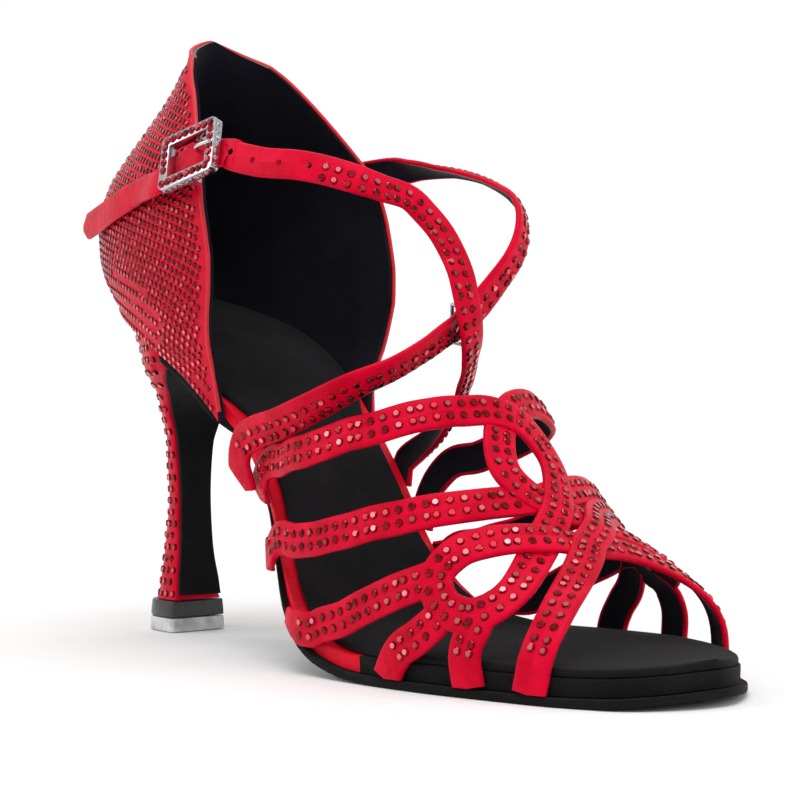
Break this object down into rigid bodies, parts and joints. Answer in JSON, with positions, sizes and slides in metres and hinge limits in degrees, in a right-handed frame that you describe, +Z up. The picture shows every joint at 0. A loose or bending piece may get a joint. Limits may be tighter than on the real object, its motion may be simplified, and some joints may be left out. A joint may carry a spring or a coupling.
{
  "type": "dance shoe",
  "caption": "Right open-toed Latin dance sandal with woven satin straps, closed stone-set counter, ankle buckle and flared high heel.",
  "frame": {"origin": "bottom centre of the whole shoe's box, on the floor it stands on", "axes": "+X from the heel to the toe, +Y to the inner (medial) side, +Z up"},
  "size_m": [0.2278, 0.0846, 0.1674],
  "materials": {
    "red_satin": "satin cloth set with small red stones",
    "black_lining": "matte microsuede",
    "suede_sole": "napped suede",
    "black_collar": "satin",
    "grey_tip": "cloudy, slightly translucent",
    "silver_metal": "polished",
    "red_stones": "faceted, foil backed",
    "clear_stones": "faceted, foil backed"
  },
  "bodies": {
    "root": {"outsole": "suede_sole", "insole_board": "red_satin", "footbed": "black_lining", "counter": "red_satin", "heel_block": "red_satin", "heel_collar": "black_collar", "heel_tip": "grey_tip", "vamp_straps": "red_satin", "instep_strap": "red_satin", "ankle_strap": "red_satin", "buckle_frame": "silver_metal", "buckle_prong": "silver_metal", "strap_keeper": "silver_metal"}
  },
  "joints": []
}
